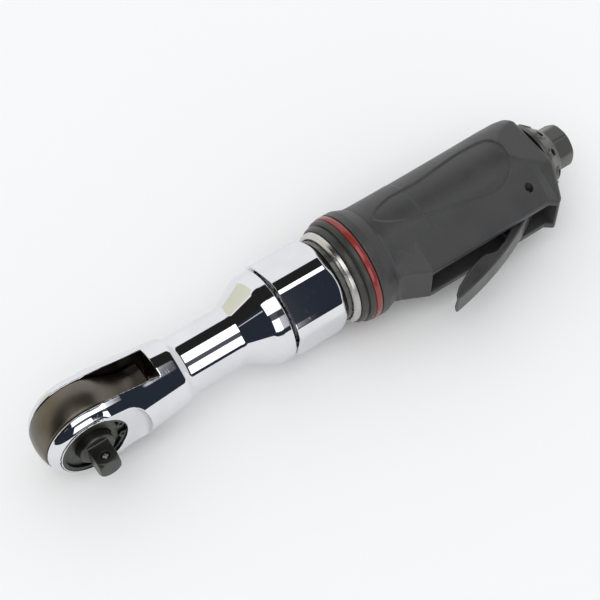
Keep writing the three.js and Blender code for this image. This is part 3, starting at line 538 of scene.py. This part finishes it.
def square_field(x, y, z):
    """The square drive: rounded edges and a coned end."""
    square = both(np.abs(x) - SQUARE_HALF, np.abs(z) - SQUARE_HALF, 0.55)
    square = both(square, slab(y, DRIVE_END, FLANGE_Y[0] - 2.4))
    cone = np.hypot(x, z) - SQUARE_HALF * 1.02 - (y - DRIVE_END) * SQUARE_CHAMFER
    square = both(square, cone / math.hypot(1, SQUARE_CHAMFER), 0.5)
    return both(square, DRIVE_END - y, 0.5)


def anvil_field(x, y, z):
    """Hub, flange and square outside the slot; drum and bearing stub inside it."""
    drive = np.hypot(x, z)
    flange = both(drive - FLANGE_RADIUS, slab(y, *FLANGE_Y), 0.3)
    hub = both(drive - HUB_RADIUS, slab(y, HUB_END, -8.5), 1.0)
    body = union(union(flange, hub, 0.5), square_field(x, y, z), 0.5)
    ball_hole = both(np.hypot(x, y - BALL_Y) - BALL_HOLE, 1.0 - z)
    drum = both(drive - DRUM_RADIUS, slab(y, -7.8, 7.0), 0.3)
    stub = both(drive - STUB_RADIUS, slab(y, 0, STUB_END), 0.4)
    return union(union(cut(body, ball_hole, 0.2), drum), stub)


SNAP_RING_BORE = 13.3
LUG_AT = (12.6, 3.9)            # x and z of the lugs' holes
LUG_RADIUS = 1.7
LUG_HOLE = 0.75


def snap_ring_field(x, y, z):
    """A spring-steel ring in the groove, open towards the handle, with a drilled lug at each end."""
    drive = np.hypot(x, z)
    opening = both(np.abs(z) - 2.6, -x)
    ring = cut(slab(drive, SNAP_RING_BORE, GROOVE_RADIUS - RUNNING_GAP), opening)
    lug = np.hypot(x - LUG_AT[0], np.abs(z) - LUG_AT[1])
    ring = cut(union(ring, lug - LUG_RADIUS, 0.8), lug - LUG_HOLE)
    return both(ring, slab(y, GROOVE_Y[0] + 0.15, GROOVE_Y[1] - 0.15), 0.2)


WASHER_Y = (-10.9, -9.9)
SPRING_RADIUS = 1.1
SPRING_WAVE = 0.09
SPRING_COILS = 5


def build_detent_spring():
    low, high = span("detent_spring")[2]
    outline = [(low, 0.0)]
    for share in np.linspace(0, 1, 8 * SPRING_COILS + 1):
        wave = SPRING_WAVE * math.cos(2 * math.pi * SPRING_COILS * share)
        outline.append((low + share * (high - low), SPRING_RADIUS + wave))
    outline.append((high, 0.0))
    spring = turned("detent_spring_coils", outline, 40, "z", (0, BALL_Y, 0))
    stands_for(spring, "detent_spring")
    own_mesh(spring)


def ring_outline(start, end, inner, outer):
    return [(start, inner), (start, outer), (end, outer), (end, inner)]


def build_head():
    housing = skin("ratchet_housing_skin", head_field, (-21, -22, -22), (COLLAR_END, 22, 22), 0.5)
    stands_for(housing, "ratchet_housing")
    yoke = skin("ratchet_yoke_skin", yoke_field, (-21, -8, -21), (33, 8, 21), 0.5)
    stands_for(yoke, "ratchet_yoke")
    anvil = skin("drive_anvil_skin", anvil_field, (-15, DRIVE_END, -15), (15, STUB_END, 15), 0.3)
    stands_for(anvil, "drive_anvil")
    ring = skin("anvil_snap_ring_skin", snap_ring_field, (-16, GROOVE_Y[0], -16), (16, GROOVE_Y[1], 16), 0.22)
    stands_for(ring, "anvil_snap_ring")
    washer = rounded(ring_outline(*WASHER_Y, HUB_RADIUS + RUNNING_GAP, FLANGE_RADIUS), 0.2)
    stands_for(turned("thrust_washer_ring", washer, along="y"), "thrust_washer")
    build_detent_spring()


# ---------------------------------------------------------------- clamp nut and rings
NUT = span("clamp_nut")
NUT_CORNER = 22.2
NUT_FLAT = 20.62
NUT_TURN = 8.7                  # degrees from +y to the first flat
NUT_BORE = 19.0
NUT_REAR_DROP = 2.2             # chamfer at the rear edge and its slope
NUT_REAR_SLOPE = 0.9


def nut_field(x, y, z):
    """A round nut with six flats and a coned rear edge."""
    radius = np.hypot(y, z)
    start, end = NUT[0]
    barrel = both(radius - NUT_CORNER, start - x, 0.6)
    rear = radius - NUT_CORNER + NUT_REAR_DROP + (x - end) * NUT_REAR_SLOPE
    barrel = both(both(barrel, rear / math.hypot(1, NUT_REAR_SLOPE), 0.4), x - end, 0.3)
    for i in range(6):
        turn = math.radians(60 * i + NUT_TURN)
        flat = y * math.cos(turn) + z * math.sin(turn) - NUT_FLAT
        barrel = both(barrel, both(flat, start + 1.0 - x), 0.5)
    return cut(barrel, radius - NUT_BORE, 0.2)


# Outlines of the three rings: x from the ring's front face and radius; None is the ring's rear face.
STEEL_RING = [(0, 19.8), (0, 20.5), (0.9, 21.9), (None, 22.1), (None, 19.8)]
FRONT_COLLAR = [(0, 20), (0, 22.6), (0.5, 23.2), (2.5, 23.7), (2.8, 22.9), (3.2, 22.9), (3.5, 24.2),
                (4.1, 24.7), (None, 25.0), (None, 20)]
RED_RING = [(0, 20), (0, 25.1), (1.4, 25.4), (None, 25.1), (None, 20)]


def build_ring(node, outline, edge):
    start, end = span(node)[0]
    points = [(end if along is None else start + along, radius) for along, radius in outline]
    stands_for(turned(node + "_turned", rounded(points, edge)), node)


def build_rings():
    nut = skin("clamp_nut_skin", nut_field, (NUT[0][0], -23, -23), (NUT[0][1], 23, 23), 0.5)
    stands_for(nut, "clamp_nut")
    build_ring("steel_ring", STEEL_RING, 0.25)
    build_ring("front_collar", FRONT_COLLAR, 0.25)
    build_ring("red_ring", RED_RING, 0.35)


# ---------------------------------------------------------------- grip
GRIP_START, GRIP_END = span("grip_sleeve")[0]
PROFILE_X = [136.5, 140.5, 143, 146, 150, 160, 190, 226, 232, 236, 240, 243]
PROFILE_R = [25.3, 25.2, 24.3, 23.1, 22.9, 22.9, 23.2, 23.8, 23.7, 23.2, 21.4, 20.0]
WAIST_X = 146.0
BOSS_SLOPE = 0.45               # lean of the keel's front end
RAIL_HALF = 9.6
RAIL_DEPTH = 28.6
LIP_DEPTH = 31.3
KEEL_X = [WAIST_X, 160, 226, 229.5, 240]
KEEL_DEPTH = [21.5, RAIL_DEPTH, RAIL_DEPTH, LIP_DEPTH, LIP_DEPTH]
FACET = (0.275, -0.07, 0.959)   # plane that cuts each flank beside the rear end
FACET_REACH = 83.1
TOP_END = 238.4                 # the grip's rear end, which slants forward under the axis
REAR_SLANT = 0.44
SLANT_Y = -14.1
RECESS_X = (160.5, 229.0)       # the lever's recess
RECESS_HALF = 6.5
RECESS_CORNER = 3.0
RECESS_FLOOR = -17.4
POCKET_START = 213.0            # the deeper pocket around the lever's hub
POCKET_FLOOR = -15.6
PIN_X = 220.5
PIN_Y = -20.0
PIN_HOLE = 1.9
BORE_STEP_X = 147
BORES = (19.9, 15.1)
PANEL_X = [149.5, 151, 154, 158, 163, 170, 177, 184, 192, 200, 205, 210, 214, 217.5, 219.8, 221.2]
PANEL_MIDDLE = [1.0, 1.0, 0.9, 0.6, 0.2, -0.8, -1.7, -1.9, -2.0, -2.2, -2.3, -2.1, -1.3, -0.4, -0.2, 0.0]
PANEL_HALF = [0.0, 2.4, 4.6, 6.2, 7.8, 8.6, 9.2, 10.2, 11.4, 12.5, 12.9, 12.4, 11.3, 9.3, 6.6, 0.5]
PANEL_SINK = 0.8
VENT_ANGLE = 158.0              # degrees from -y to the row of vents on each side of the back
VENT_SLOT_X = (160.0, 182.0)
VENT_RIBS = [185.0, 189.5, 194.0, 198.5, 203.0]
VENT_NOTCH = 218.0
VENT_FLOOR = 21.6
PAD_X, _, PAD_Z = span("back_pad")
PAD_FLOOR = 21.9
PAD_TOP = 23.4
RIDGE_PITCH = 3.0
RIDGE_HEIGHT = 0.25


def panel_field(x, y):
    """Outline of the recessed side panel: pointed at the front, round at the rear."""
    inside = np.abs(y - np.interp(x, PANEL_X, PANEL_MIDDLE)) - np.interp(x, PANEL_X, PANEL_HALF)
    return np.maximum(inside * 0.9, slab(x, PANEL_X[0], PANEL_X[-1]))


def grip_body(x, y, z):
    """A round sleeve that runs into a keel with two rails below, cut off at a slant behind."""
    radius = np.hypot(y, z)
    angle = np.abs(np.arctan2(z, -y))
    round_r = np.interp(x, PROFILE_X, PROFILE_R)
    depth = np.interp(x, KEEL_X, KEEL_DEPTH)
    corner = np.hypot(depth, RAIL_HALF)
    tangent = np.arctan2(RAIL_HALF, depth) + np.arccos(np.clip(round_r / corner, 0, 1))
    flank = np.where(angle < tangent, round_r / np.cos(tangent - angle), round_r)
    flank = np.where(x < WAIST_X, round_r, flank)
    keel = both(radius - flank, (-y - np.maximum(depth, round_r)) * 0.9, 1.0)
    boss = (x - WAIST_X - BOSS_SLOPE * (radius - round_r)) * 0.8
    sleeve = both(radius - round_r, slab(x, GRIP_START, 170))
    body = union(both(keel, -boss, 0.8), sleeve, 0.5)
    body = both(body, GRIP_START - x, 0.6)
    facet = FACET[0] * x + FACET[1] * y + FACET[2] * np.abs(z) - FACET_REACH
    body = both(body, facet, 0.5)
    rear = x - np.minimum(TOP_END, TOP_END + 0.5 + REAR_SLANT * (y - SLANT_Y))
    return both(body, rear * 0.92, 2.2)


def vents_field(x, along):
    """One row of vents in the back; along is the distance around the grip from the row's middle."""
    vents = both(slab(x, *VENT_SLOT_X), along - 1.3)
    for rib in VENT_RIBS:
        vents = union(vents, both(np.abs(x - rib) - 1.1, along - 1.2))
    return union(vents, both(np.abs(x - VENT_NOTCH) - 1.0, along - 2.2))


def grip_field(x, y, z):
    radius = np.hypot(y, z)
    angle = np.abs(np.arctan2(z, -y))
    body = grip_body(x, y, z)
    body = body + PANEL_SINK * smooth(0.5, -1.2, panel_field(x, y)) * (np.abs(z) > 8)
    vents = vents_field(x, np.abs(angle - math.radians(VENT_ANGLE)) * radius)
    body = cut(body, both(vents, VENT_FLOOR - radius), 0.3)
    pad_bed = both(slab(x, PAD_X[0] - 0.3, PAD_X[1] + 0.3), (math.pi - angle) * radius - PAD_Z[1] - 0.3)
    body = cut(body, both(pad_bed, PAD_FLOOR - 0.3 - radius), 0.3)
    recess = both(both(np.abs(z) - RECESS_HALF, x - RECESS_X[1], RECESS_CORNER), RECESS_X[0] - x)
    body = cut(body, both(recess, y - RECESS_FLOOR), 0.5)
    pocket = both(slab(x, POCKET_START, RECESS_X[1]), np.abs(z) - RECESS_HALF)
    body = cut(body, both(pocket, y - POCKET_FLOOR), 0.3)
    body = cut(body, np.hypot(x - PIN_X, y - PIN_Y) - PIN_HOLE, 0.3)
    return cut(body, radius - np.where(x < BORE_STEP_X, *BORES))


def pad_field(x, y, z):
    """A soft strip let into the back of the grip, with low ridges across it."""
    radius = np.hypot(y, z)
    beside = np.abs(np.arctan2(z, y)) * radius - PAD_Z[1]
    ridges = RIDGE_HEIGHT * np.cos(2 * math.pi * x / RIDGE_PITCH) * smooth(0, -1.5, beside)
    strip = both(radius - PAD_TOP - ridges, beside, 0.6)
    return both(both(strip, slab(x, *PAD_X), 0.6), PAD_FLOOR - radius)


def build_grip():
    grip = skin("grip_sleeve_skin", grip_field, (GRIP_START, -32, -26), (GRIP_END, 26, 26), 0.55)
    stands_for(grip, "grip_sleeve")
    pad = skin("back_pad_skin", pad_field, (PAD_X[0], 20, PAD_Z[0]), (PAD_X[1], 24, PAD_Z[1]), 0.3)
    stands_for(pad, "back_pad")


# ---------------------------------------------------------------- throttle lever
LEVER_CURVE = [(219.0, -25.4), (192.5, -39.8), (162.0, -44.3)]      # outer face, a quadratic curve
LEVER_X = (162.0, 219.5)
LEVER_SHEET = 1.5
LEVER_HALF = 5.5
HUB_REACH = 4.1
HUB_BORE = 1.7
CHEEK_TOP = [(161.9, -43.2), (163.2, -41.4), (166.5, -38.9), (174.3, -35.2), (179.0, -33.5), (184.0, -32.2),
             (186.6, -31.9), (188.5, -32.7), (190.0, -33.2), (192.0, -33.4), (198.0, -31.4), (205.0, -27.6),
             (212.0, -22.4), (219.0, -16.4)]
STEM_X = 203.8
STEM_RADIUS = 1.6
STEM_COLLAR = (-11.4, -10.6, 2.6)
PIN_RADIUS = 1.5


def lever_face(x):
    """Height of the lever's outer face and its slope at each x."""
    (x0, y0), (x1, y1), (x2, y2) = LEVER_CURVE
    t = np.linspace(-0.05, 1.02, 80)
    px = (1 - t) ** 2 * x0 + 2 * t * (1 - t) * x1 + t * t * x2
    py = (1 - t) ** 2 * y0 + 2 * t * (1 - t) * y1 + t * t * y2
    rise = np.gradient(py, px)
    return np.interp(x, px[::-1], py[::-1]), np.interp(x, px[::-1], rise[::-1])


def lever_field(x, y, z):
    """A pressed channel: an outer face with a cheek folded up on each side and a hub at the pin."""
    face, rise = lever_face(x)
    outside = (face - y) / np.hypot(1, rise)
    side = np.abs(z)
    above = (y - np.interp(x, *zip(*CHEEK_TOP))) * 0.85
    off_pin = np.hypot(x - PIN_X, y - PIN_Y)
    plan = both(both(outside, above, 0.5), slab(x, *LEVER_X), 0.6)
    plan = union(plan, off_pin - HUB_REACH, 0.8)
    body = both(plan, side - LEVER_HALF, 1.0)
    channel = both(side - LEVER_HALF + LEVER_SHEET, outside + LEVER_SHEET, 0.6)
    body = cut(body, channel, 0.3)
    return cut(body, off_pin - HUB_BORE, 0.1)


def pin_outline(low, high, radius):
    return [(low, 0), (low, radius), (high, radius), (high, 0)]


def build_lever():
    lever = skin("throttle_lever_skin", lever_field, (161, -46, -6), (226, -14, 6), 0.35)
    stands_for(lever, "throttle_lever")
    low, high = span("valve_stem")[1]
    collar_low, collar_high, collar_radius = STEM_COLLAR
    profile = [(low, 0), (low, STEM_RADIUS - 0.3), (low + 0.5, STEM_RADIUS), (collar_low - 0.2, STEM_RADIUS),
               (collar_low, collar_radius), (collar_high, collar_radius), (collar_high + 0.2, STEM_RADIUS),
               (high, STEM_RADIUS), (high, 0)]
    stem = turned("valve_stem_turned", rounded(profile, 0.2), 64, "y", (STEM_X, 0, 0))
    stands_for(stem, "valve_stem")
    pin = rounded(pin_outline(*span("lever_pin")[2], PIN_RADIUS), 0.3)
    stands_for(turned("lever_pin_turned", pin, 48, "z", (PIN_X, PIN_Y, 0)), "lever_pin")


# ---------------------------------------------------------------- rear end
DEFLECTOR_X = (TOP_END + 0.2, 249.0)
DEFLECTOR_R = (18.4, 12.2)
DEFLECTOR_BAND = 2.0            # straight stretch before the cone
DEFLECTOR_BORE = 10.95
PORTS = 10
PORT_X = 243.4
PORT_RADIUS = 1.75
PORT_DEPTH = 1.6
BOSS_RADIUS = 3.0               # raised rim around each port
BOSS_HEIGHT = 0.7


def deflector_field(x, y, z):
    """A coned cap with a ring of bossed exhaust ports."""
    radius = np.hypot(y, z)
    start, end = DEFLECTOR_X
    fall = (DEFLECTOR_R[0] - DEFLECTOR_R[1]) / (end - start - DEFLECTOR_BAND)
    below = np.maximum(x - start - DEFLECTOR_BAND, 0) * fall
    cone = (radius - DEFLECTOR_R[0] + below) / math.hypot(1, fall)
    tilt = math.atan(fall)
    middle = DEFLECTOR_R[0] - (PORT_X - start - DEFLECTOR_BAND) * fall
    body, ports = cone, np.inf
    for i in range(PORTS):
        turn = 2 * math.pi * (i + 0.5) / PORTS
        across = y * -math.sin(turn) + z * math.cos(turn)
        out = y * math.cos(turn) + z * math.sin(turn)
        up_cone = (x - PORT_X) * math.cos(tilt) - (out - middle) * math.sin(tilt)
        away = np.hypot(across, up_cone)
        boss = both(both(away - BOSS_RADIUS, cone - BOSS_HEIGHT, 0.5), -out)
        body = union(body, boss, 0.5)
        ports = np.minimum(ports, np.maximum(away - PORT_RADIUS, -out))
    body = both(body, slab(x, start, end), 0.5)
    body = cut(body, np.maximum(ports, -PORT_DEPTH - cone), 0.25)
    return cut(body, radius - DEFLECTOR_BORE)


INLET_START, INLET_END = span("inlet_bushing")[0]
INLET_RADIUS = 10.8
INLET_FLAT = 10.15
INLET_TURN = -2.5               # degrees from +y to the first of eight flats
INLET_RIM = 10.2
INLET_BORE = 5.7
INLET_MOUTH = 6.9
THREAD_START = 244
THREAD_PITCH = 1.35
THREAD_DEPTH = 0.22


def inlet_field(x, y, z):
    """An eight-sided bushing with a chamfered end and a threaded bore."""
    radius = np.hypot(y, z)
    body = both(radius - INLET_RADIUS, INLET_START - x, 0.3)
    for i in range(8):
        turn = math.radians(45 * i + INLET_TURN)
        body = both(body, y * math.cos(turn) + z * math.sin(turn) - INLET_FLAT, 0.25)
    body = both(body, (radius - INLET_RIM + (x - INLET_END) * 0.8) / 1.28, 0.3)
    body = both(body, x - INLET_END, 0.3)
    bore = union(radius - INLET_BORE, (radius - INLET_MOUTH - (x - INLET_END) * 0.9) / 1.35)
    turns = x / THREAD_PITCH + np.arctan2(z, y) / (2 * math.pi)
    thread = THREAD_DEPTH * np.cos(turns * 2 * math.pi)
    return cut(body, both(bore + thread, THREAD_START - x), 0.2)


def build_rear():
    low, high = DEFLECTOR_X
    deflector = skin("exhaust_deflector_skin", deflector_field, (low, -20, -20), (high, 20, 20), 0.4)
    stands_for(deflector, "exhaust_deflector")
    inlet = skin("inlet_bushing_skin", inlet_field, (INLET_START, -11, -11), (INLET_END, 11, 11), 0.35)
    stands_for(inlet, "inlet_bushing")


# ---------------------------------------------------------------- camera, lights and floor
CAMERA_TARGET = (110.0, 0.0, -3.6)      # millimetres, degrees
CAMERA_AZIMUTH = -34.6
CAMERA_ELEVATION = 55.1
CAMERA_DISTANCE = 612.9
CAMERA_ROLL = -0.8
CAMERA_LENS = 84.4


def add_camera():
    azimuth, elevation = math.radians(CAMERA_AZIMUTH), math.radians(CAMERA_ELEVATION)
    back = Vector((math.sin(azimuth) * math.cos(elevation), -math.cos(azimuth) * math.cos(elevation),
                   math.sin(elevation)))
    data = bpy.data.cameras.new("camera")
    data.lens = CAMERA_LENS
    data.sensor_width = 36
    camera = bpy.data.objects.new("camera", data)
    bpy.context.scene.collection.objects.link(camera)
    camera.location = Vector(to_frame(CAMERA_TARGET)) + back * CAMERA_DISTANCE / MM
    camera.rotation_mode = "QUATERNION"
    roll = Quaternion((0, 0, 1), math.radians(CAMERA_ROLL))
    camera.rotation_quaternion = (-back).to_track_quat("-Z", "Y") @ roll
    bpy.context.scene.camera = camera


FLOOR_HALF = 4.0                # metres
FLOOR_GAP = 0.0004


def add_floor():
    half = FLOOR_HALF
    level = cad_low[2] - FLOOR_GAP
    mesh = bpy.data.meshes.new("floor")
    mesh.from_pydata([(-half, -half, level), (half, -half, level), (half, half, level), (-half, half, level)],
                     [], [(0, 1, 2, 3)])
    floor = bpy.data.objects.new("floor", mesh)
    bpy.context.scene.collection.objects.link(floor)
    n = Nodes("floor_paint")
    shade = n.blend(n.noise(3, 3), (0.95, 0.95, 0.95), (0.97, 0.97, 0.97))
    mesh.materials.append(n.surface(color=shade, roughness=0.9, specular=0.1))


# The studio as the chrome sees it. Each panel is a patch of the surroundings: its angles across the
# tool (0 level behind it, 90 straight up, 180 level in front), its reach along the tool as the x part
# of the direction, how soft its two pairs of edges are, and its brightness.
STUDIO_DARK = (0.022, 0.028, 0.042)
STUDIO_PANELS = [
    ((52, 96), (-1.0, 1.0), (2.0, 0.05), (0.018, 0.018, 0.018)),
    ((92.6, 124), (-0.45, 0.42), (1.2, 0.04), (2.0, 2.0, 2.0)),
    ((124, 140), (-0.35, 0.30), (2.0, 0.04), (0.10, 0.10, 0.115)),
    ((140, 169), (-0.35, 0.30), (1.0, 0.03), (1.9, 1.9, 1.95)),
    ((105, 107), (-0.75, -0.62), (1.0, 0.03), (0.9, 0.9, 0.9)),
    ((-40, 54.5), (-1.1, 1.1), (1.0, 0.05), (0.98, 0.98, 0.99)),
    ((-40, 50), (-1.1, -0.2), (1.0, 0.05), (0.80, 0.79, 0.64)),
    ((-180, 180), (0.74, 1.1), (1.0, 0.05), (0.80, 0.80, 0.81)),
    ((183, 317), (-1.1, 1.1), (3.0, 0.05), (1.0, 1.0, 1.0)),
]


BACKDROP = (0.88, 0.89, 0.90, 1.0)
SKY = (0.98, 0.99, 1.0, 1.0)
SKY_STRENGTH = 0.80


class WorldNodes(Nodes):
    """The same helper for the world's shader."""

    def __init__(self, world):
        world.use_nodes = True
        self.tree = world.node_tree
        self.tree.nodes.clear()
        self.coordinates = self.tree.nodes.new("ShaderNodeTexCoord").outputs["Generated"]

    def step(self, value, low, high):
        inputs = {"Value": value, "From Min": low, "From Max": high}
        return self.node("ShaderNodeMapRange", inputs, interpolation_type="SMOOTHSTEP").outputs["Result"]

    def window(self, value, low, high, soft):
        """1 between low and high, 0 outside, with soft edges."""
        rise = self.step(value, low - soft, low + soft)
        fall = self.step(value, high + soft, high - soft)
        return self.multiply(rise, fall)


def add_world():
    """The chrome reflects the banded studio; everything else is lit by a plain pale sky."""
    world = bpy.data.worlds.new("studio")
    bpy.context.scene.world = world
    n = WorldNodes(world)
    parts = n.node("ShaderNodeSeparateXYZ", {0: n.coordinates}).outputs
    degrees = n.multiply(n.math("ARCTAN2", parts["Z"], parts["Y"]), 180 / math.pi)
    turned_past = n.add(degrees, 360.0)
    shade = STUDIO_DARK
    for across, along, (soft_across, soft_along), color in STUDIO_PANELS:
        heading = turned_past if across[1] > 180 else degrees
        amount = n.multiply(n.window(heading, *across, soft_across), n.window(parts["X"], *along, soft_along))
        shade = n.blend(amount, shade, color)
    banded, plain, backdrop = [
        n.node("ShaderNodeBackground", {"Color": color, "Strength": strength}).outputs[0]
        for color, strength in ((shade, 1.0), (SKY, SKY_STRENGTH), (BACKDROP, 1.0))]
    rays = n.node("ShaderNodeLightPath").outputs
    lit = n.node("ShaderNodeMixShader", {0: rays["Is Glossy Ray"], 1: plain, 2: banded}).outputs[0]
    seen = n.node("ShaderNodeMixShader", {0: rays["Is Camera Ray"], 1: lit, 2: backdrop}).outputs[0]
    n.node("ShaderNodeOutputWorld", {"Surface": seen})


KEY_STRENGTH = 0.75
KEY_FROM = (-0.45, -0.35, 0.85)
KEY_SPREAD = 50                 # degrees


def add_key_light():
    data = bpy.data.lights.new("key", "SUN")
    data.energy = KEY_STRENGTH
    data.angle = math.radians(KEY_SPREAD)
    key = bpy.data.objects.new("key", data)
    key.rotation_mode = "QUATERNION"
    key.rotation_quaternion = Vector(KEY_FROM).to_track_quat("Z", "Y")
    key.visible_glossy = False
    bpy.context.scene.collection.objects.link(key)


def finish_cad_nodes():
    """Every carried CAD node gets its slot's procedural finish."""
    for name, part in frame["nodes"].items():
        part.data.materials.clear()
        part.data.materials.append(MATERIALS[SLOT_OF[name]])


bpy.context.scene.view_settings.view_transform = "Standard"
add_camera()
add_world()
add_key_light()
add_floor()
finish_cad_nodes()
build_head()
build_rings()
build_grip()
build_lever()
build_rear()
